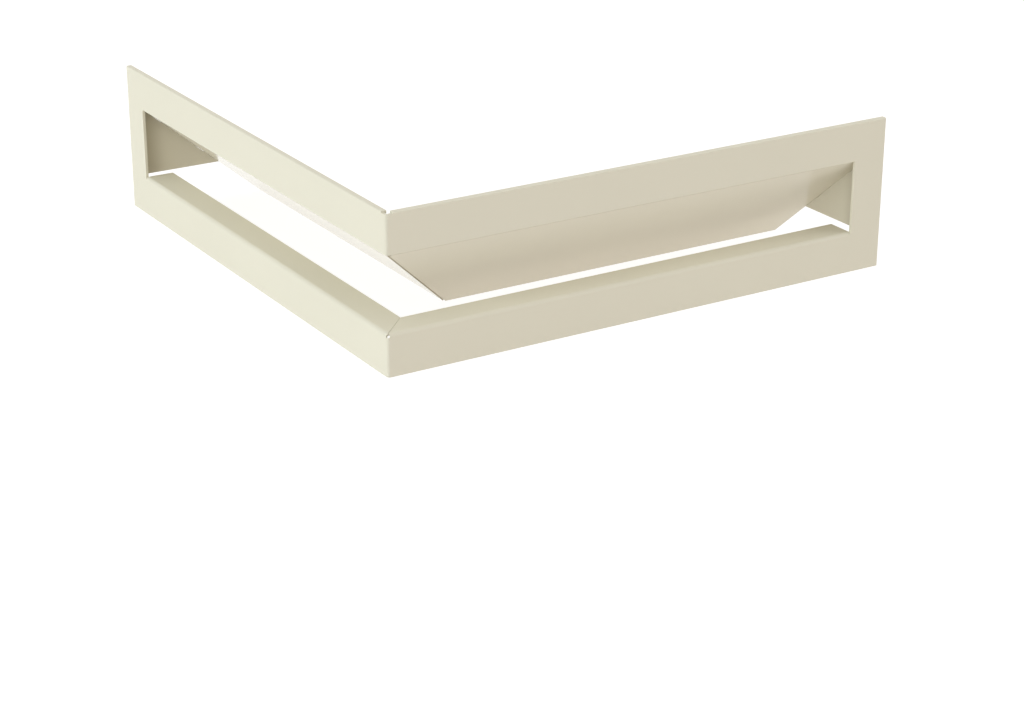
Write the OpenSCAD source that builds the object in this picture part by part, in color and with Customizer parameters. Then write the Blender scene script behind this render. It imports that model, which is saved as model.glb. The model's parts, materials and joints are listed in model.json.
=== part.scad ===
// Corner vent grille for the outside corner of a chimney breast.
// One folded sheet makes the front: two faces at a right angle, a window that runs round the
// corner without a post, a short return along the top and a lip behind the window's lower edge.
// Two deflectors slope back and down behind the window and meet in a mitre under the corner, and
// a triangular cheek closes each outer end. Weld studs and nuts hold everything from behind, so
// that nothing shows on the faces, and eight straps screw the grille to the edge of the wall board.
// The right wing runs along +X with its face at y = 0, the left wing is its mirror image along +Y.

/* [Front frame] */
// Length of each leg, from the outside corner to its end
leg = 618; // [440:1:900]
// Overall height of the front
frame_h = 170; // [155:1:240]
// Thickness of the folded front sheet
sheet = 3; // [2:0.5:4]
// Inside radius of the upright fold at the corner
fold_r = 0.5; // [0.3:0.1:1.5]
// Height of the band above the window
top_band = 43; // [34:1:60]
// Height of the band below the window, up to the lip's upper face
bottom_band = 46; // [38:1:60]
// Width of the border at the outer end of each window
end_border = 40; // [36:1:70]

/* [Folded edges] */
// Depth of the lip behind the window's lower edge, from the face
lip_d = 33.5; // [15:0.5:60]
// Outside radius of the fold between each lower band and its lip
lip_fold = 4.5; // [3.5:0.5:7]
// Depth of the top return, from the face
return_d = 6; // [4:0.5:16]
// Outside radius of the fold along the top edge
top_fold = 1.5; // [1:0.1:3.5]
// Distance from the upright fold to the end of each top return
return_gap = 5; // [3:0.5:20]
// Gap between the two lips along their mitre
lip_gap = 0.4; // [0.2:0.1:1]
// Diameter of the relief hole through the corner, where the lips' folds start
relief_d = 3.6; // [2:0.2:4]
// Slope of the relief hole, down and inwards through the corner
relief_slope = 40; // [20:1:50]

/* [Deflectors] */
// Thickness of the deflector sheets
defl_sheet = 2; // [1:0.5:3]
// Inside radius of the deflectors' fold
defl_fold_r = 1; // [0.5:0.5:3]
// Slope of the deflectors below the horizontal
defl_angle = 40; // [32:1:50]
// Height of the deflectors' lower edge above the bottom of the front
defl_low = 0.5; // [0.5:0.5:20]
// Height of the flange that holds each deflector behind the top band
defl_flange_h = 22; // [18:1:30]
// Distance from the outside corner to the start of that flange
flange_start = 9; // [8:0.5:30]
// How far the relief at the corner runs past the fold, down the slope
corner_relief = 1; // [0.5:0.5:3]
// Gap between the two deflectors where their hidden faces meet
defl_gap = 0.9; // [0.2:0.1:2]

/* [Cheeks] */
// Thickness of the cheek plates
cheek_sheet = 2; // [1:0.5:3]
// Inside radius of the cheeks' fold
cheek_fold_r = 1; // [0.5:0.5:2]
// Distance of each cheek outwards from the end of the window
cheek_out = 17; // [6:1:22]
// Height of the cheeks' lower edge
cheek_z = 44; // [20:1:60]
// Height of the cheeks above the hidden face of the deflector
cheek_rise = 6; // [3:0.5:15]
// Flat width of the flange that holds each cheek behind the end border
cheek_flat = 14; // [12:0.5:16]
// Clearance between the deflector's end and the cheek
end_gap = 0.3; // [0.1:0.1:1]

/* [Tabs] */
// Length of the tabs that hold each deflector's end in its cheek
tab_l = 12; // [8:1:20]
// Height of the tabs above the outer face of the cheek
tab_proud = 1; // [0.5:0.5:3]
// Clearance round each tab in its slot
slot_gap = 0.2; // [0.1:0.1:0.5]
// Distance of the first tab from the deflector's fold
tab_first = 22; // [15:1:40]
// Distance of the second tab from the deflector's fold
tab_second = 90; // [70:1:98]

/* [Studs and nuts] */
// Diameter of the weld studs
stud_d = 4; // [3:1:5]
// Length of the weld studs
stud_l = 12; // [10:1:20]
// Diameter of the weld foot at the base of a stud
foot_d = 5.5; // [5:0.1:6.5]
// Height of the weld foot
foot_h = 0.8; // [0.4:0.1:1]
// Clearance of the holes round the weld foot
foot_gap = 0.25; // [0.1:0.05:0.5]
// Radial clearance of a nut on its stud
thread_gap = 0.05; // [0.02:0.01:0.1]
// Width of a nut across its flats
nut_af = 7; // [6.5:0.5:8]
// Height of a nut
nut_h = 4.5; // [3:0.5:6]
// Diameter of the nut's flange
nut_flange_d = 10; // [9:0.5:12]
// Thickness of the nut's flange
nut_flange_h = 1.2; // [0.8:0.1:2]

/* [Stud places] */
// Number of studs along each top band
band_studs = 5; // [4:1:8]
// Distance from the outside corner to the first stud
first_stud = 66; // [55:1:90]
// Distance from the last stud to the inner face of the cheek
last_stud = 25; // [20:1:60]
// Number of studs on each side of the deflectors' mitre
mitre_stud_n = 3; // [2:1:5]
// Distance from the fold to the first mitre stud, and from the last one to the lower edge
mitre_stud_in = 36; // [30:1:50]

/* [Joint strip] */
// Thickness of the joint strip along the deflectors' mitre
strip_sheet = 1.5; // [1:0.5:2.5]
// Width of each half of the joint strip along its deflector
strip_w = 24; // [22:1:40]
// Distance of the strip's ends from the deflector's fold and lower edge
strip_in = 3; // [3:1:24]

/* [Wall straps] */
// Thickness of the wall straps
strap_sheet = 2; // [1.5:0.5:3]
// Inside radius of the straps' fold
strap_fold_r = 1; // [0.5:0.5:1.5]
// Width of the wall straps
strap_w = 25; // [18:1:40]
// Height of the screwed face of a strap above its stud
strap_rise = 10; // [9:0.5:12]
// Length of a strap on the other side of its stud
strap_tail = 8; // [6.5:0.5:8.5]
// Reach of the screwed face behind the strap's seat
strap_reach = 30; // [24:1:45]
// Distance of the screw hole behind the strap's seat
screw_in = 19; // [12:1:19]
// Diameter of the screw hole
screw_d = 5; // [4:0.5:6]
// Distance from the start of the lip's fold down to the bottom straps' studs
strap_drop = 9.5; // [8.5:0.5:13]

/* [Hidden] */
$fn = 48;

CREAM = [0.87, 0.85, 0.77];
ZINC = [0.72, 0.74, 0.76];

// How far a cutting shape runs past the face that it cuts
over = 1;
// Straight steps that stand for the deflector's fold
fold_steps = 8;

// Outside radii of the upright fold and of the folds in the parts behind the front
fold_out = sheet + fold_r;
defl_fold_out = defl_sheet + defl_fold_r;
cheek_fold_out = cheek_sheet + cheek_fold_r;
strap_fold_out = strap_sheet + strap_fold_r;

// The window, and the height at which the lips' folds start
window_top = frame_h - top_band;
window_end = leg - end_border;
lip_z = bottom_band - lip_fold;

// The deflector: its visible face starts where the fold ends, at panel_y and panel_z
defl_bend = 90 - defl_angle;
panel_y = sheet + defl_fold_out * (1 - cos(defl_bend));
panel_z = window_top - defl_fold_out * sin(defl_bend);
panel_len = (panel_z - defl_low) / sin(defl_angle);

// The cheek: inner face, fold and flange
cheek_in = window_end + cheek_out;
defl_end = cheek_in - end_gap;
cheek_front = sheet + cheek_fold_out;
cheek_flange_top = window_top - cheek_sheet;
cheek_stud_x = cheek_in + cheek_fold_out + cheek_flat / 2;
cheek_stud_edge = 14;
tab_end = cheek_in + cheek_sheet + tab_proud;

// Studs along the top band, and the two of them that also carry the wall straps
hole_d = foot_d + 2 * foot_gap;
top_stud_z = window_top + defl_flange_h / 2;
bottom_stud_z = lip_z - strap_drop;
stud_pitch = (cheek_in - last_stud - first_stud) / (band_studs - 1);
stud_xs = [for (i = [0 : band_studs - 1]) first_stud + i * stud_pitch];
inner_x = stud_xs[1];
outer_x = stud_xs[band_studs - 2];
strap_xs = [inner_x, outer_x];

// Studs along the mitre, as distances down the slope and outwards from the mitre
mitre_pitch = (panel_len - 2 * mitre_stud_in) / (mitre_stud_n - 1);
mitre_vs = [for (i = [0 : mitre_stud_n - 1]) mitre_stud_in + i * mitre_pitch];
mitre_stud_u = strip_w * 0.6;

// Across a plane at 45 degrees, half a gap measures this much along one wing
function half_gap(gap) = gap / sqrt(2);

// Where the hidden face of the right deflector meets the mitre, v down the slope
function mitre_u(v) = panel_y + defl_sheet * sin(defl_angle) + v * cos(defl_angle) + half_gap(defl_gap);

// The cheek's upper edge lies above the deflector's hidden face
edge_off = defl_sheet + cheek_rise;
edge_y = panel_y + edge_off * sin(defl_angle);
edge_z = panel_z + edge_off * cos(defl_angle);
function edge_z_at(y) = edge_z - (y - edge_y) * tan(defl_angle);
function edge_y_at(z) = edge_y + (edge_z - z) / tan(defl_angle);

// The row's origin is the middle of the square round both legs, at the bottom edge
module place() translate([-leg / 2, -leg / 2, 0]) children();

// The left wing is the right one mirrored at the plane x = y
module left() mirror([1, -1, 0]) children();

module both_wings() {
    children();
    left() children();
}

// Extrudes a profile, drawn as depth behind the face and height, from x0 to x1
module along_x(x0, x1) translate([x0, 0, 0]) rotate([90, 0, 90]) linear_extrude(x1 - x0) children();

// Tips children from upright to pointing straight back from the right wing
module backwards() rotate([-90, 0, 0]) children();

// Part of a ring between two angles that are at most 90 degrees apart
module fold(r_in, r_out, a0, a1) {
    far = 2 * r_out;
    mid = (a0 + a1) / 2;
    intersection() {
        difference() {
            circle(r_out);
            if (r_in > 0) circle(r_in);
        }
        polygon([[0, 0], for (a = [a0, mid, a1]) far * [cos(a), sin(a)]]);
    }
}

// A front sheet folded straight back with outside radius r, seen from its end: outer face at
// height z, reaching depth d. A fold tighter than the sheet is grooved, so it is sharp inside.
module folded_back(z, d, r) {
    translate([r, z - r]) fold(max(r - sheet, 0), r, 90, 180);
    translate([r, z - sheet]) square([d - r, sheet]);
}

// Front frame

module wing_face() difference() {
    translate([fold_out, 0, 0]) cube([leg - fold_out, sheet, frame_h - top_fold]);
    translate([0, -over, lip_z]) cube([window_end, sheet + 2 * over, window_top - lip_z]);
}

module top_return() along_x(fold_out + return_gap, leg) folded_back(frame_h, return_d, top_fold);

// Plan of everything inside the rounded outside corner
module rounded_plan() {
    translate([fold_out, 0]) square([leg, leg]);
    translate([0, fold_out]) square([leg, leg]);
    translate([fold_out, fold_out]) circle(fold_out);
}

// The lip ends in a mitre at the corner and flush with the window's outer end
module lip() intersection() {
    along_x(0, window_end) folded_back(bottom_band, lip_d, lip_fold);
    translate([0, 0, lip_z]) linear_extrude(lip_fold + over) intersection() {
        polygon([
            [half_gap(lip_gap), 0], [window_end, 0],
            [window_end, lip_d], [lip_d + half_gap(lip_gap), lip_d]
        ]);
        rounded_plan();
    }
}

// The upright fold carries both bands round the corner and is open at the window
module corner_fold() difference() {
    linear_extrude(frame_h - top_fold) translate([fold_out, fold_out]) fold(fold_r, fold_out, 180, 270);
    translate([-over, -over, lip_z]) cube([fold_out + over, fold_out + over, window_top - lip_z]);
}

// The relief hole lies in the plane of the mitre and opens the start of both lips' folds
module relief_hole() translate([0, 0, lip_z + relief_d]) rotate([0, 90 + relief_slope, 45])
    cylinder(d = relief_d, h = 4 * sheet);

module front_frame() place() color(CREAM) difference() {
    union() {
        both_wings() {
            wing_face();
            top_return();
            lip();
        }
        corner_fold();
    }
    relief_hole();
}

// Deflectors

// Puts children on the slope: x along the wing, y down the slope, z out of the hidden face
module on_slope()
    translate([0, sheet + defl_fold_out, window_top]) rotate([-defl_angle, 0, 0])
        translate([0, 0, -defl_fold_out]) children();

// Points along an arc of that radius round a centre
function arc(centre, r, a0, a1) = [
    for (i = [0 : fold_steps]) let (a = a0 + (a1 - a0) * i / fold_steps) centre + r * [cos(a), sin(a)]
];

// The flange, the fold and the slope as one outline, seen from the end
module defl_profile() {
    centre = [sheet + defl_fold_out, window_top];
    top = window_top + defl_flange_h;
    run = panel_len * [cos(defl_angle), -sin(defl_angle)];
    front = arc(centre, defl_fold_out, 180, 180 + defl_bend);
    back = arc(centre, defl_fold_r, 180 + defl_bend, 180);
    polygon(concat(
        [[sheet, top]], front, [front[fold_steps] + run, back[0] + run], back, [[sheet + defl_sheet, top]]
    ));
}

// A cut straight through the sheet and its flange, between two places along the wing and down the slope
module slope_cut(x0, x1, v0, v1) on_slope()
    translate([x0, v0, -over]) cube([x1 - x0, v1 - v0, defl_flange_h + 2 * over]);

module mitre_cut() {
    low = panel_len + over;
    on_slope() translate([0, 0, -over]) linear_extrude(defl_sheet + 2 * over)
        polygon([[-over, 0], [mitre_u(0), 0], [mitre_u(low), low], [-over, low]]);
}

// The end is cut back between the tabs, and the corner is relieved before the fold
module deflector() color(CREAM) difference() {
    along_x(0, tab_end) defl_profile();
    slope_cut(-over, flange_start, -defl_flange_h, corner_relief);
    mitre_cut();
    slope_cut(defl_end, tab_end + over, -defl_flange_h, tab_first);
    slope_cut(defl_end, tab_end + over, tab_first + tab_l, tab_second);
    slope_cut(defl_end, tab_end + over, tab_second + tab_l, panel_len + over);
    for (x = stud_xs) translate([x, sheet - over, top_stud_z]) backwards()
        cylinder(d = hole_d, h = defl_sheet + 2 * over);
}

module deflector_right() place() deflector();
module deflector_left() place() left() deflector();

// Cheeks

module cheek_plate() along_x(cheek_in, cheek_in + cheek_sheet) polygon([
    [cheek_front, cheek_z], [edge_y_at(cheek_z), cheek_z], [cheek_front, edge_z_at(cheek_front)]
]);

module cheek_flange() translate([cheek_in, sheet, cheek_z]) linear_extrude(cheek_flange_top - cheek_z) {
    translate([cheek_fold_out, cheek_fold_out]) fold(cheek_fold_r, cheek_fold_out, 180, 270);
    translate([cheek_fold_out, 0]) square([cheek_flat, cheek_sheet]);
}

cheek_stud_zs = [cheek_z + cheek_stud_edge, cheek_flange_top - cheek_stud_edge];

module cheek() color(CREAM) difference() {
    union() {
        cheek_plate();
        cheek_flange();
    }
    for (v = [tab_first, tab_second]) on_slope() translate([cheek_in - over, v - slot_gap, -slot_gap])
        cube([cheek_sheet + 2 * over, tab_l + 2 * slot_gap, defl_sheet + 2 * slot_gap]);
    for (z = cheek_stud_zs) translate([cheek_stud_x, sheet - over, z]) backwards()
        cylinder(d = hole_d, h = cheek_sheet + 2 * over);
}

module cheek_right() place() cheek();
module cheek_left() place() left() cheek();

// Joint strip: one half lies on each deflector's hidden face, and they meet at the mitre plane

module on_mitre() on_slope() for (v = mitre_vs)
    translate([mitre_u(v) + mitre_stud_u, v, defl_sheet]) children();

module strip_half() intersection() {
    difference() {
        on_slope() translate([0, 0, defl_sheet]) linear_extrude(strip_sheet) polygon([
            [mitre_u(strip_in) - strip_w / 2, strip_in],
            [mitre_u(strip_in) + strip_w, strip_in],
            [mitre_u(panel_len - strip_in) + strip_w, panel_len - strip_in],
            [mitre_u(panel_len - strip_in) - strip_w / 2, panel_len - strip_in]
        ]);
        on_mitre() translate([0, 0, -over]) cylinder(d = hole_d, h = strip_sheet + 2 * over);
    }
    linear_extrude(frame_h) polygon([[0, 0], [leg, 0], [leg, leg]]);
}

module mitre_strip() place() color(CREAM) both_wings() strip_half();

// Studs and nuts, upright on the face that they stand on

module stud() {
    tip = stud_d / 8;
    cylinder(d = foot_d, h = foot_h);
    cylinder(d = stud_d, h = stud_l - tip);
    translate([0, 0, stud_l - tip]) cylinder(d1 = stud_d, d2 = stud_d - 2 * tip, h = tip);
}

module nut() {
    corner_d = nut_af / cos(30);
    difference() {
        union() {
            cylinder(d = nut_flange_d, h = nut_flange_h);
            intersection() {
                cylinder(d = corner_d, h = nut_h, $fn = 6);
                cylinder(d1 = corner_d + 2 * nut_h, d2 = nut_af, h = nut_h + (corner_d - nut_af) / 2);
            }
        }
        translate([0, 0, -over]) cylinder(d = stud_d + 2 * thread_gap, h = nut_h + 2 * over);
    }
}

// Depth of a nut's seat behind the face, on a plain stud and on one that carries a strap
function top_seat(x) = sheet + defl_sheet + (len(search(x, strap_xs)) > 0 ? strap_sheet : 0);

module mitre_studs() place() color(ZINC) both_wings() on_mitre() stud();
module mitre_nuts() place() color(ZINC) both_wings() on_mitre() translate([0, 0, strip_sheet]) nut();

module deflector_studs() place() color(ZINC) both_wings()
    for (x = stud_xs) translate([x, sheet, top_stud_z]) backwards() stud();

module deflector_nuts() place() color(ZINC) both_wings()
    for (x = stud_xs) translate([x, top_seat(x), top_stud_z]) backwards() nut();

module cheek_studs() place() color(ZINC) both_wings()
    for (z = cheek_stud_zs) translate([cheek_stud_x, sheet, z]) backwards() stud();

module cheek_nuts() place() color(ZINC) both_wings()
    for (z = cheek_stud_zs) translate([cheek_stud_x, sheet + cheek_sheet, z]) backwards() nut();

module strap_studs() place() color(ZINC) both_wings()
    for (x = strap_xs) translate([x, sheet, bottom_stud_z]) backwards() stud();

module strap_nuts() place() color(ZINC) both_wings()
    for (x = strap_xs) translate([x, sheet + strap_sheet, bottom_stud_z]) backwards() nut();

// Wall straps, with the stud's axis through the origin and the seat at y = 0

module strap() difference() {
    along_x(-strap_w / 2, strap_w / 2) {
        translate([0, -strap_tail]) square([strap_sheet, strap_tail + strap_rise - strap_fold_out]);
        translate([strap_fold_out, strap_rise - strap_fold_out])
            fold(strap_fold_r, strap_fold_out, 90, 180);
        translate([strap_fold_out, strap_rise - strap_sheet])
            square([strap_reach - strap_fold_out, strap_sheet]);
    }
    translate([0, -over, 0]) backwards() cylinder(d = hole_d, h = strap_sheet + 2 * over);
    translate([0, screw_in, strap_rise - strap_sheet - over])
        cylinder(d = screw_d, h = strap_sheet + 2 * over);
}

module top_strap(x) color(ZINC) translate([x, sheet + defl_sheet, top_stud_z]) strap();
module bottom_strap(x) color(ZINC) translate([x, sheet, bottom_stud_z]) mirror([0, 0, 1]) strap();

front_frame();
deflector_right();
deflector_left();
cheek_right();
cheek_left();
mitre_strip();
mitre_studs();
mitre_nuts();
deflector_studs();
deflector_nuts();
cheek_studs();
cheek_nuts();
strap_studs();
strap_nuts();
place() top_strap(inner_x);  // strap_top_right_inner
place() top_strap(outer_x);  // strap_top_right_outer
place() left() top_strap(inner_x);  // strap_top_left_inner
place() left() top_strap(outer_x);  // strap_top_left_outer
place() bottom_strap(inner_x);  // strap_bottom_right_inner
place() bottom_strap(outer_x);  // strap_bottom_right_outer
place() left() bottom_strap(inner_x);  // strap_bottom_left_inner
place() left() bottom_strap(outer_x);  // strap_bottom_left_outer
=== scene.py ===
# %% [markdown]
# # A corner vent grille in cream powder coat
#
# The object is a vent for the warm air behind a chimney breast. One steel sheet is folded round
# the corner and painted cream, two sloping sheets behind its window turn the air outwards, and
# zinc-plated studs, nuts and straps hold everything from behind.
#
# The lesson dresses a model that was measured and drawn first. Its shapes are right already, so
# the work here is what paint, plating and light add to them: soft cut edges, cut threads, a
# grain in the coat, and the pale studio that the photograph was taken in.

# %% Load the measured model
import json
import math

import bmesh
import bpy
from mathutils import Matrix, Vector


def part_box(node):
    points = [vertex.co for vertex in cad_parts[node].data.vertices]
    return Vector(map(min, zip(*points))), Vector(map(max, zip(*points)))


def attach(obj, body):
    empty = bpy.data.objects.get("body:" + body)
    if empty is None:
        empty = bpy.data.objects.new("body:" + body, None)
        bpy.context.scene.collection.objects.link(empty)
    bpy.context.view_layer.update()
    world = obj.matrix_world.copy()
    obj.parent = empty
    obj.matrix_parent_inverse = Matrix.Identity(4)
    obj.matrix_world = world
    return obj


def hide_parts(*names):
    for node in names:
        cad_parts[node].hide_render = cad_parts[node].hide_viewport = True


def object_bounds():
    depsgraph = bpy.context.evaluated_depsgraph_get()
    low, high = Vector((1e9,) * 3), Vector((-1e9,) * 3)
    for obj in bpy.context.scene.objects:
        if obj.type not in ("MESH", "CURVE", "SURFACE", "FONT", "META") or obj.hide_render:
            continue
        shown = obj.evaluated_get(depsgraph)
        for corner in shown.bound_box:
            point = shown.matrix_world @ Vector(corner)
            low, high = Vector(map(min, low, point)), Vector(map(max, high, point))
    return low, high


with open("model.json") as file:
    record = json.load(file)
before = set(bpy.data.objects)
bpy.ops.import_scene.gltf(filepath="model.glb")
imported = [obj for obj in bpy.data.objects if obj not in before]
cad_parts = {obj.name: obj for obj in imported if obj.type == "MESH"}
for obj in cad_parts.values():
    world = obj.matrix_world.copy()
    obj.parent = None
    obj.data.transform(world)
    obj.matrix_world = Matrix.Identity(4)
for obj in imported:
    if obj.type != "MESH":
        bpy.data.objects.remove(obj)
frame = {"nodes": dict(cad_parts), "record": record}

cad_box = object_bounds()
MM = 0.001

print("nodes:", len(frame["nodes"]))
print("box in mm:", [round(side / MM, 2) for side in cad_box[1] - cad_box[0]])

# %% [markdown]
# ## The camera
#
# The photograph looks down at the outside corner, with the right wing running away to the right
# and the left wing away to the left. A camera can be placed by eye, but then no edge falls
# exactly on its edge in the picture. It is better to find its place from the edges: their
# directions give the angles, and the known height of the grille gives the distance. The place
# is written in metres from the outer bottom corner, the lowest corner of the front frame's box.
#
# The image is 1024 by 721 pixels. A lens is written in millimetres on a sensor of 36 mm, so a
# focal length that was found in pixels is converted once, and the camera then needs no shift.

# %% Place the camera
IMAGE_WIDTH = 1024
SENSOR_MM = 36
FOCAL_PIXELS = 2364.5
YAW, PITCH, ROLL = (math.radians(angle) for angle in (31.88, 22.44, 0.213))
CAMERA_FROM_CORNER = Vector((-1.0249, -1.8778, 0.9013))
FARTHEST_SEEN = 100

camera_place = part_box("front_frame")[0] + CAMERA_FROM_CORNER

forward = Vector((math.sin(YAW) * math.cos(PITCH), math.cos(YAW) * math.cos(PITCH), -math.sin(PITCH)))
level = Vector((math.cos(YAW), -math.sin(YAW), 0))
upward = level.cross(forward)
side = level * math.cos(ROLL) + upward * math.sin(ROLL)
top = upward * math.cos(ROLL) - level * math.sin(ROLL)

camera_data = bpy.data.cameras.new("camera")
camera_data.sensor_width = SENSOR_MM
camera_data.lens = FOCAL_PIXELS / IMAGE_WIDTH * SENSOR_MM
camera_data.clip_end = FARTHEST_SEEN
camera = bpy.data.objects.new("camera", camera_data)
bpy.context.scene.collection.objects.link(camera)
turn = Matrix((side, top, -forward)).transposed().to_4x4()
camera.matrix_world = Matrix.Translation(camera_place) @ turn
bpy.context.scene.camera = camera

print("lens:", round(camera_data.lens, 2), "mm")

# %% [markdown]
# ## Small helpers for materials
#
# A material is a graph: nodes that make numbers and colours, and links that carry them. Adding
# each node takes three lines of Python, so a helper that adds one, sets its sockets and returns
# it keeps every recipe below as short as its idea.
#
# Two steps come again and again, and get helpers too. One blends two colours. The other
# stretches a noise, whose values keep mostly between 0.3 and 0.7, to the range that is wanted.

# %% Helpers for material nodes
NOISE_LOW, NOISE_HIGH = 0.3, 0.7


def new_material(name):
    material = bpy.data.materials.new(name)
    material.use_nodes = True
    material.node_tree.nodes.clear()
    return material


def add(tree, kind, inputs=None, **settings):
    node = tree.nodes.new(kind)
    for key, value in settings.items():
        setattr(node, key, value)
    for key, value in (inputs or {}).items():
        if isinstance(value, bpy.types.NodeSocket):
            tree.links.new(value, node.inputs[key])
        else:
            node.inputs[key].default_value = value
    return node


def blend(tree, share, first, second):
    inputs = {"Factor": share, "A": first, "B": second}
    return add(tree, "ShaderNodeMix", inputs, data_type="RGBA").outputs["Result"]


def stretch(tree, noise, low, high):
    inputs = {"Value": noise.outputs["Fac"], "From Min": NOISE_LOW, "From Max": NOISE_HIGH,
              "To Min": low, "To Max": high}
    return add(tree, "ShaderNodeMapRange", inputs).outputs["Result"]


def srgb(red, green, blue):
    """A colour as a paint chart gives it, from 0 to 255, in the linear numbers that a shader takes."""
    share = [channel / 255 for channel in (red, green, blue)]
    return tuple(c / 12.92 if c <= 0.04045 else ((c + 0.055) / 1.055) ** 2.4 for c in share) + (1,)

# %% [markdown]
# ## The cream powder coat
#
# The steel is sprayed with a dry powder that melts in an oven into one smooth skin. Close by it
# isn't quite flat: the melted grains leave shallow waves one or two millimetres long, called
# orange peel. The skin also draws back a little from a sharp edge, so it is thinner and a
# shade deeper there.
#
# The colour also holds painted shade. It is mixed towards a dark brown in three places where
# shade falls: on a cheek close behind the front sheet, inside the gap where the deflectors meet,
# and in the fold behind the top band. How dark is a guess, set by the darker lines of the
# photograph. Because it is in the colour, it stays dark when the light changes.
#
# The colour is mixed first. The edges, the gap and the cheeks carry marks on their faces, which
# are set further down where the edges are softened. On a cheek, the painted shade fades with
# the depth behind the front, which is the smaller of X and Y on both wings alike.

# %% Colour of the cream coat, with painted shade
CREAM = srgb(231, 228, 212)
CREAM_EDGE = srgb(226, 221, 200)
# Painted shade: the dark colour that the coat is mixed towards in corners and gaps, and how it fades on a
# cheek.
PAINTED_SHADE = srgb(122, 108, 80)
SHADE_FROM = 5.5 * MM
SHADE_TO = 39 * MM
CHEEK_SHADE_LEAST = 0.15
CLOUDS_PER_METRE = 9
PALEST, DEEPEST = 1.0, 0.985


def cream_colour(tree, place):
    edge = add(tree, "ShaderNodeAttribute", attribute_name="edge")
    paint = blend(tree, edge.outputs["Fac"], CREAM, CREAM_EDGE)
    # Painted shade: darkens the coat on the cheeks near the front, in the deflectors' gap and in their fold.
    shaded_paint = blend(tree, painted_shade_share(tree, place), paint, PAINTED_SHADE)
    cloud = add(tree, "ShaderNodeTexNoise", {"Vector": place, "Scale": CLOUDS_PER_METRE, "Detail": 3})
    tone = stretch(tree, cloud, DEEPEST, PALEST)
    return add(tree, "ShaderNodeVectorMath", {0: shaded_paint, "Scale": tone}, operation="SCALE").outputs["Vector"]


def painted_shade_share(tree, place):
    """Share of painted shade: on the cheeks it fades with depth, in the gap and the fold it is even."""
    sides = add(tree, "ShaderNodeSeparateXYZ", {0: place}).outputs
    depth = add(tree, "ShaderNodeMath", {0: sides["X"], 1: sides["Y"]}, operation="MINIMUM").outputs[0]
    front = min(cad_box[0].xy)
    corner_shade = add(tree, "ShaderNodeMapRange", {"Value": depth, "From Min": front + SHADE_FROM,
               "From Max": front + SHADE_TO, "To Min": 1, "To Max": CHEEK_SHADE_LEAST},
               interpolation_type="SMOOTHSTEP")
    cheek = add(tree, "ShaderNodeAttribute", attribute_name="cheek")
    gap = add(tree, "ShaderNodeAttribute", attribute_name="gap")
    return add(tree, "ShaderNodeMath", {0: corner_shade.outputs["Result"], 1: cheek.outputs["Fac"],
               2: gap.outputs["Fac"]}, operation="MULTIPLY_ADD", use_clamp=True).outputs[0]

# %% [markdown]
# ## Its surface
#
# The waves could be modelled, but they are only a few hundredths of a millimetre deep, so a
# bump texture is the right tool. Noise at two sizes gives the waves and a finer grain, and the
# finer one also moves the roughness a little, as the gloss of a real coat varies.
#
# This paint shines weakly, yet its reflections are sharp, and they show only where one looks
# along the sheet. One glossy layer is either too bright for that or too blurred. So the base is
# matt, with its own shine turned off, and the Coat of the shader lies over it as a thin clear
# skin. Its index of refraction, 1.08, is lower than a real lacquer's. It was set by how much of
# the floor and the cheek the right deflector mirrors in the photograph.

# %% Cream powder coat
PEEL_PER_METRE = 620
PEEL_DEPTH = 0.03 * MM
GRAIN_PER_METRE = 2600
GRAIN_DEPTH = 0.01 * MM
CLEAR_SKIN = {"Coat Weight": 0.85, "Coat Roughness": 0.07, "Coat IOR": 1.08}


def make_cream_coat():
    material = new_material("cream_coat")
    tree = material.node_tree
    place = add(tree, "ShaderNodeTexCoord").outputs["Object"]
    peel = add(tree, "ShaderNodeTexNoise", {"Vector": place, "Scale": PEEL_PER_METRE, "Detail": 1.5})
    grain = add(tree, "ShaderNodeTexNoise", {"Vector": place, "Scale": GRAIN_PER_METRE, "Detail": 2})
    waves = add(tree, "ShaderNodeBump", {"Height": peel.outputs["Fac"], "Strength": 0.25,
                "Distance": PEEL_DEPTH})
    bump = add(tree, "ShaderNodeBump", {"Height": grain.outputs["Fac"], "Strength": 0.15,
               "Distance": GRAIN_DEPTH, "Normal": waves.outputs["Normal"]}).outputs["Normal"]
    matt_base = {"Base Color": cream_colour(tree, place), "Roughness": stretch(tree, grain, 0.42, 0.55),
                 "Specular IOR Level": 0.0, "Normal": bump}
    coat = add(tree, "ShaderNodeBsdfPrincipled", {**matt_base, **CLEAR_SKIN, "Coat Normal": bump})
    add(tree, "ShaderNodeOutputMaterial", {"Surface": coat.outputs["BSDF"]})
    return material


cream_coat = make_cream_coat()
print("cream:", [round(channel, 3) for channel in CREAM[:3]])

# %% [markdown]
# ## The zinc plate
#
# Studs, nuts and straps are plated with zinc, a bright metal with a cold grey shine. Its tiny
# crystals scatter the light in soft patches, and handling leaves it a little dull, so the
# roughness wanders between satin and nearly matt, and a faint straw tint comes and goes.

# %% Zinc plate
ZINC_COLD = (0.66, 0.68, 0.70, 1)
ZINC_STRAW = (0.70, 0.68, 0.62, 1)
CRYSTALS_PER_METRE = 900
CRYSTAL_DEPTH = 0.02 * MM
PATCHES_PER_METRE = 160
STRAW_FROM, STRAW_FULL = 0.45, 0.75


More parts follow.
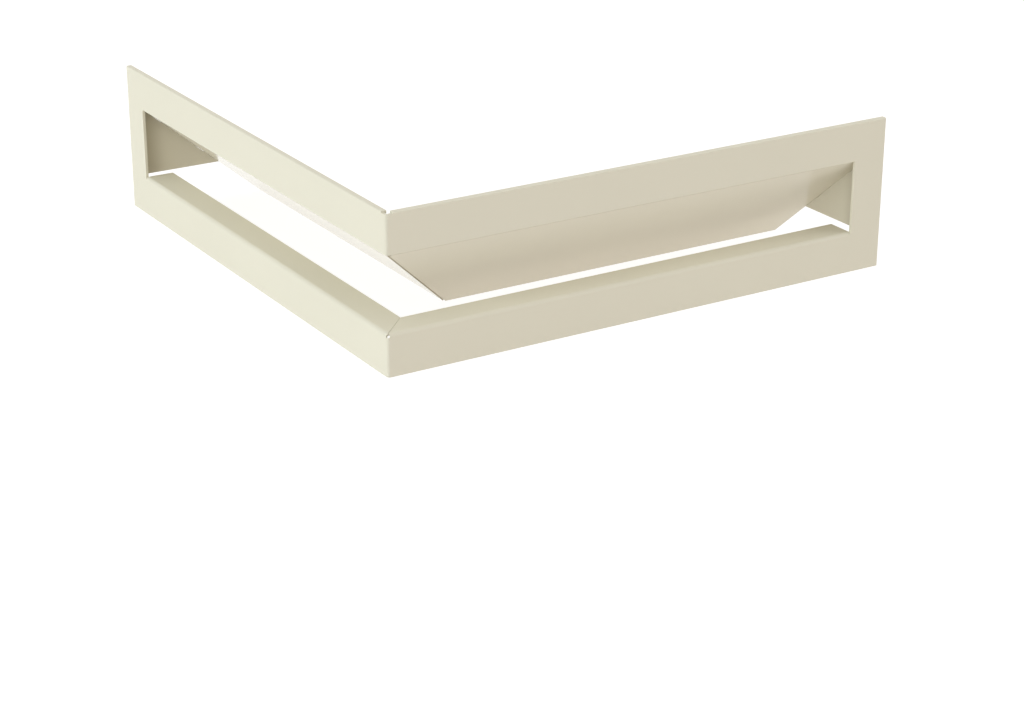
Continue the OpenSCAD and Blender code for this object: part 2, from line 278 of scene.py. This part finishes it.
def make_zinc_plate():
    material = new_material("zinc_plate")
    tree = material.node_tree
    place = add(tree, "ShaderNodeTexCoord").outputs["Object"]
    crystals = add(tree, "ShaderNodeTexVoronoi", {"Vector": place, "Scale": CRYSTALS_PER_METRE})
    patches = add(tree, "ShaderNodeTexNoise", {"Vector": place, "Scale": PATCHES_PER_METRE, "Detail": 4})
    tint = add(tree, "ShaderNodeMapRange", {"Value": patches.outputs["Fac"], "From Min": STRAW_FROM,
               "From Max": STRAW_FULL}).outputs["Result"]
    bump = add(tree, "ShaderNodeBump", {"Height": crystals.outputs["Distance"], "Strength": 0.2,
               "Distance": CRYSTAL_DEPTH}).outputs["Normal"]
    plate = add(tree, "ShaderNodeBsdfPrincipled", {"Base Color": blend(tree, tint, ZINC_COLD, ZINC_STRAW),
                "Metallic": 1, "Roughness": stretch(tree, patches, 0.28, 0.46), "Normal": bump})
    add(tree, "ShaderNodeOutputMaterial", {"Surface": plate.outputs["BSDF"]})
    return material


zinc_plate = make_zinc_plate()
FINISHES = {"cream_coat": cream_coat, "zinc_plate": zinc_plate}
slot_of = {row["node"]: row["material_slot"] for row in frame["record"]["subparts"]}

# %% [markdown]
# ## Soft edges
#
# The measured solids have edges of no width, and light never glints on such an edge. On real
# sheet the cut is broken by a brush and then rounded by its paint, about 0.25 mm on the sheets
# and half of that on a thin nut.
#
# A bevel modifier could do it, but the solids arrive as triangles with each face apart. So the
# copy is first joined into one skin and its flat parts are merged, and then every corner
# steeper than 35 degrees is bevelled. The bevel's own faces are marked, because the coat above
# asks for that mark to find the edges.
#
# The marks of painted shade are set by the way that a face looks, which its normal tells. In the
# deflectors' gap, one sees the cut ends of both sheets and, between them, the side of the joint
# strip that looks down. The strip's own cut ends lie outside the gap and look less far down, so
# they stay unmarked. The slope of a deflector looks down with a Z of -0.77 and its flange is
# upright, so the fold is what lies between. A mitre cut looks sideways as well.

# %% Marks of painted shade
GAP_SHADE = 0.3
FOLD_SHADE = 0.13
CHEEK_SHADE = 0.5
STRIP_DOWN = -0.7
SLOPE_DOWN = -0.75
UPRIGHT = -0.05
OUTWARDS = -0.6
SIDEWAYS = 0.1


# Painted shade in the deflectors' gap and in their fold behind the top band.
def shade_in_gap(node, facing):
    if node == "mitre_strip" and facing.z < STRIP_DOWN:
        return GAP_SHADE
    if node.startswith("deflector") and min(facing.xy) < OUTWARDS and SLOPE_DOWN < facing.z < UPRIGHT:
        return GAP_SHADE if max(facing.xy) > SIDEWAYS else FOLD_SHADE
    return 0

# %% Bevel the edges of a copy
SHARP = math.radians(35)
FLAT = math.radians(0.5)
SAME_POINT = 0.002 * MM
PAINT_ROUNDING = 0.25 * MM


def soften(node, width):
    source = frame["nodes"][node]
    skin = bmesh.new()
    skin.from_mesh(source.data)
    bmesh.ops.remove_doubles(skin, verts=skin.verts, dist=SAME_POINT)
    bmesh.ops.dissolve_limit(skin, angle_limit=FLAT, verts=skin.verts, edges=skin.edges)
    mark = skin.faces.layers.float.new("edge")
    gap = skin.faces.layers.float.new("gap")
    cheek = skin.faces.layers.float.new("cheek")
    for face in skin.faces:
        # Painted shade in the gap and the fold, marked face by face.
        face[gap] = shade_in_gap(node, face.normal)
    sharp = [edge for edge in skin.edges if edge.is_manifold and edge.calc_face_angle() > SHARP]
    bevel = bmesh.ops.bevel(skin, geom=sharp, offset=width, segments=2, profile=0.5,
                            affect="EDGES", clamp_overlap=True)
    for face in bevel["faces"]:
        face[mark] = 1
    for face in skin.faces:
        face.smooth = True
        # Painted shade on the cheeks, strongest close behind the front sheet.
        face[cheek] = CHEEK_SHADE if node.startswith("cheek") else 0
    mesh = bpy.data.meshes.new(node + "_soft")
    skin.to_mesh(mesh)
    skin.free()
    return mesh


def show(name, mesh, node):
    piece = bpy.data.objects.new(name, mesh)
    bpy.context.scene.collection.objects.link(piece)
    mesh.materials.clear()
    mesh.materials.append(FINISHES[slot_of[node]])
    shading = piece.modifiers.new("even_shading", "WEIGHTED_NORMAL")
    shading.keep_sharp = True
    shading.weight = 100
    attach(piece, "root")
    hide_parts(node)
    return piece


sheet_nodes = ["front_frame", "deflector_right", "deflector_left", "cheek_right", "cheek_left",
               "mitre_strip"]
for node in sheet_nodes:
    piece = show(node + "_sheet", soften(node, PAINT_ROUNDING), node)
    print(piece.name, len(piece.data.polygons), "faces")

# %% [markdown]
# ## Straps and nuts
#
# The straps are punched from 2 mm strip and folded once, and the nuts are cold formed with a
# flange. Both get the same soft edges, only finer, because plating is much thinner than paint.

# %% Straps and nuts
PLATING_ROUNDING = 0.12 * MM

zinc_nodes = [node for node in frame["nodes"] if slot_of[node] == "zinc_plate"]
for node in zinc_nodes:
    if not node.endswith("_studs"):
        piece = show(node + "_plated", soften(node, PLATING_ROUNDING), node)
        print(piece.name, len(piece.data.polygons), "faces")

# %% [markdown]
# ## Weld studs
#
# A weld stud is a short screw without a head. A spark melts its foot onto the back of the sheet,
# so nothing shows in front. The measured model has it as a plain pin, but from behind the grille
# the threads catch the light, so they are cut here.
#
# A thread could be a bump texture, and then its outline would stay straight. A true helix is
# hardly more work: the skin is a grid that climbs by one pitch in each turn, and its rows go in
# turn through root, flank and crest. At both ends the thread runs out into a plain ring, where
# the foot and the flat tip are joined on.

# %% Cut one threaded stud
STUD_RADIUS = 2 * MM
FOOT_RADIUS = 2.75 * MM
FOOT_HEIGHT = 0.8 * MM
STUD_LENGTH = 12 * MM
THREAD_PITCH = 0.7 * MM
THREAD_DEPTH = 0.43 * MM
FOOT_ROUNDING = 0.1 * MM
STEPS = 24


def add_rings(skin, rings):
    """Joins rings of points into a skin, each ring given as a list of (radius, angle, height)."""
    rows = [[skin.verts.new((r * math.cos(a), r * math.sin(a), z)) for r, a, z in ring] for ring in rings]
    for lower, upper in zip(rows, rows[1:]):
        for k in range(len(lower) - 1):
            skin.faces.new((lower[k], lower[k + 1], upper[k + 1], upper[k]))


def thread_rings(low, high):
    """Rings that climb by one pitch a turn: where the root starts and ends, and where the crest does."""
    root = STUD_RADIUS - THREAD_DEPTH
    profile = [(0.0, root), (0.12, root), (0.5, STUD_RADIUS), (0.62, STUD_RADIUS)]
    rings = []
    for turn_number in range(math.ceil((high - low) / THREAD_PITCH) + 2):
        for share, reach in profile:
            ring = []
            for step in range(STEPS + 1):
                climb = THREAD_PITCH * (turn_number - 1 + share + step / STEPS)
                height = min(max(low + climb, low), high)
                run_out = root + min(height - low, high - height)
                ring.append((min(reach, run_out), math.tau * step / STEPS, height))
            rings.append(ring)
    return rings


def make_stud():
    skin = bmesh.new()
    add_rings(skin, thread_rings(FOOT_HEIGHT, STUD_LENGTH))
    inner = FOOT_RADIUS - FOOT_ROUNDING
    foot = [(inner, 0), (FOOT_RADIUS, FOOT_ROUNDING), (FOOT_RADIUS, FOOT_HEIGHT - FOOT_ROUNDING),
            (inner, FOOT_HEIGHT), (STUD_RADIUS - THREAD_DEPTH, FOOT_HEIGHT)]
    add_rings(skin, [[(r, math.tau * k / STEPS, z) for k in range(STEPS + 1)] for r, z in foot])
    bmesh.ops.remove_doubles(skin, verts=skin.verts, dist=SAME_POINT)
    bmesh.ops.holes_fill(skin, edges=[edge for edge in skin.edges if edge.is_boundary], sides=0)
    bmesh.ops.recalc_face_normals(skin, faces=skin.faces)
    for face in skin.faces:
        face.smooth = True
    for edge in skin.edges:
        edge.smooth = edge.calc_face_angle(0) < SHARP
    mesh = bpy.data.meshes.new("threaded_stud")
    skin.to_mesh(mesh)
    open_edges = sum(1 for edge in skin.edges if not edge.is_manifold)
    skin.free()
    print("one stud:", len(mesh.polygons), "faces,", open_edges, "open edges")
    return mesh


one_stud = make_stud()

# %% [markdown]
# ## A stud on each foot
#
# The places needn't be typed in, because the measured pins show them. The round underside of a
# pin's foot is its largest flat face, so the middle of that face is the place and the opposite
# of its normal is the direction. Each stud is also turned a little further than the one before,
# as no two real studs start their thread at the same angle.
#
# A set has no order of its own, so here it only tells which faces are left. The faces are taken
# in the mesh's order, and the studs are sorted by rounded places. In that way every run turns
# every stud by the same angle.

# %% Find the pins
def islands(skin):
    """The separate pins of a node, each as a list of its faces."""
    left = set(skin.faces)
    for first in skin.faces:
        if first not in left:
            continue
        left.remove(first)
        island = [first]
        for face in island:  # the list grows while it is walked
            for near in [other for edge in face.edges for other in edge.link_faces]:
                if near in left:
                    left.remove(near)
                    island.append(near)
        yield island


def pin_place(island):
    """Middle of a pin's foot, and the direction in which the pin stands on it."""
    flats = {}
    for face in island:
        facing = tuple(round(part, 2) for part in face.normal)
        flats.setdefault(facing, []).append(face)
    foot = max(flats.values(), key=lambda faces: sum(face.calc_area() for face in faces))
    area = sum(face.calc_area() for face in foot)
    middle = sum((face.calc_center_median() * face.calc_area() for face in foot), Vector()) / area
    return middle, -foot[0].normal


def rounded_middle(place):
    """A place's middle to a tenth of a millimetre, so that its last digits can't change an order."""
    middle, axis = place
    return [round(part, 4) for part in middle]

# %% Set a stud on each pin's foot
TURN_BETWEEN_STUDS = 2.4


def set_studs(node):
    pins = bmesh.new()
    pins.from_mesh(frame["nodes"][node].data)
    bmesh.ops.remove_doubles(pins, verts=pins.verts, dist=SAME_POINT)
    places = sorted((pin_place(island) for island in islands(pins)), key=rounded_middle)
    pins.free()
    studs = bmesh.new()
    for number, (middle, axis) in enumerate(places):
        before = len(studs.verts)
        studs.from_mesh(one_stud)
        studs.verts.ensure_lookup_table()
        spin = Matrix.Rotation(TURN_BETWEEN_STUDS * number, 4, "Z")
        stand = Matrix.Translation(middle) @ axis.to_track_quat("Z", "Y").to_matrix().to_4x4()
        bmesh.ops.transform(studs, matrix=stand @ spin, verts=studs.verts[before:])
    mesh = bpy.data.meshes.new(node + "_threaded")
    studs.to_mesh(mesh)
    studs.free()
    piece = show(node + "_threaded", mesh, node)
    print(piece.name, len(places), "studs")


for node in zinc_nodes:
    if node.endswith("_studs"):
        set_studs(node)

# %% [markdown]
# ## The studio
#
# The photograph shows the grille on plain white, with no shadow. Its light comes from all round,
# but not evenly: the left face is the lighter and cooler one, the right face is darker and warm,
# and the deflectors, which look down, are lit from below.
#
# So the sky is a broad soft light overhead that fades towards the horizon, a cool lamp stands
# low on the left and a warm one low on the right. Each lamp is a sun with a wide disc, which is
# as soft as a large cloth box. The floor sends up warm light of its own, and that is the main
# light on the deflectors. All these levels were set by comparing renders with the photograph.
#
# Floor and sky show as white to the camera and in reflections, through Light Path. That way the
# background is white although the light on the object stays at a plain level. The floor keeps
# the object's shadow, but so close to white it shows only faintly, under the deflectors.

# %% Sky
WARM_WHITE = (1.0, 0.965, 0.92, 1)
PURE_WHITE = (1, 1, 1, 1)
SKY_TOP = 0.95


def two_faced(tree, colour, level, seen_level):
    """Colour and strength of a light that falls on things as given, and shows as white itself."""
    path = add(tree, "ShaderNodeLightPath").outputs
    direct = add(tree, "ShaderNodeMath", {0: path["Is Camera Ray"], 1: path["Is Glossy Ray"]},
                 operation="MAXIMUM").outputs[0]
    seen = add(tree, "ShaderNodeMath", {0: direct, 1: path["Is Transmission Ray"]},
               operation="MAXIMUM").outputs[0]
    strength = add(tree, "ShaderNodeMapRange", {"Value": seen, "To Min": level, "To Max": seen_level})
    return {"Color": blend(tree, seen, colour, PURE_WHITE), "Strength": strength.outputs["Result"]}


world = bpy.data.worlds.new("studio_sky")
world.use_nodes = True
tree = world.node_tree
tree.nodes.clear()
direction = add(tree, "ShaderNodeSeparateXYZ", {0: add(tree, "ShaderNodeTexCoord").outputs["Generated"]})
fading = add(tree, "ShaderNodeMapRange", {"Value": direction.outputs["Z"], "To Min": 0, "To Max": SKY_TOP})
sky = add(tree, "ShaderNodeBackground", two_faced(tree, WARM_WHITE, fading.outputs["Result"], 1.0))
add(tree, "ShaderNodeOutputWorld", {"Surface": sky.outputs[0]})
bpy.context.scene.world = world

# %% Floor
FLOOR_COLOUR = (0.3, 0.3, 0.3, 1)
FLOOR_WARMTH = (1.0, 0.915, 0.845, 1)
FLOOR_LEVEL = 0.595
FLOOR_SEEN_LEVEL = 0.85
FLOOR_HALF = 40
FLOOR_GAP = 0.2 * MM

floor_paper = new_material("floor_paper")
tree = floor_paper.node_tree
paper = add(tree, "ShaderNodeBsdfDiffuse", {"Color": FLOOR_COLOUR})
glow = add(tree, "ShaderNodeEmission", two_faced(tree, FLOOR_WARMTH, FLOOR_LEVEL, FLOOR_SEEN_LEVEL))
both = add(tree, "ShaderNodeAddShader", {0: paper.outputs[0], 1: glow.outputs[0]})
add(tree, "ShaderNodeOutputMaterial", {"Surface": both.outputs[0]})

floor_mesh = bpy.data.meshes.new("studio_floor")
floor_z = cad_box[0].z - FLOOR_GAP
signs = ((-1, -1), (1, -1), (1, 1), (-1, 1))
floor_corners = [(x * FLOOR_HALF, y * FLOOR_HALF, floor_z) for x, y in signs]
floor_mesh.from_pydata(floor_corners, [], [(0, 1, 2, 3)])
floor_mesh.materials.append(floor_paper)
floor = bpy.data.objects.new("studio_floor", floor_mesh)
bpy.context.scene.collection.objects.link(floor)

# %% Lamps
def make_lamp(name, compass, height, level, spread, colour):
    """A far lamp, by its compass angle from the back of the scene and its height, in degrees."""
    around, above = math.radians(compass), math.radians(height)
    towards = Vector((math.sin(around), math.cos(around), 0)) * math.cos(above)
    towards.z = math.sin(above)
    data = bpy.data.lights.new(name, "SUN")
    data.energy = level * math.pi
    data.color = colour
    data.angle = math.radians(spread)
    lamp = bpy.data.objects.new(name, data)
    lamp.rotation_mode = "QUATERNION"
    lamp.rotation_quaternion = towards.to_track_quat("Z", "Y")
    bpy.context.scene.collection.objects.link(lamp)


make_lamp("key_lamp", compass=269, height=6, level=0.75, spread=50, colour=(0.878, 0.964, 0.988))
make_lamp("fill_lamp", compass=114, height=12, level=0.491, spread=60, colour=(1.0, 0.974, 0.935))

bpy.context.scene.view_settings.view_transform = "Standard"
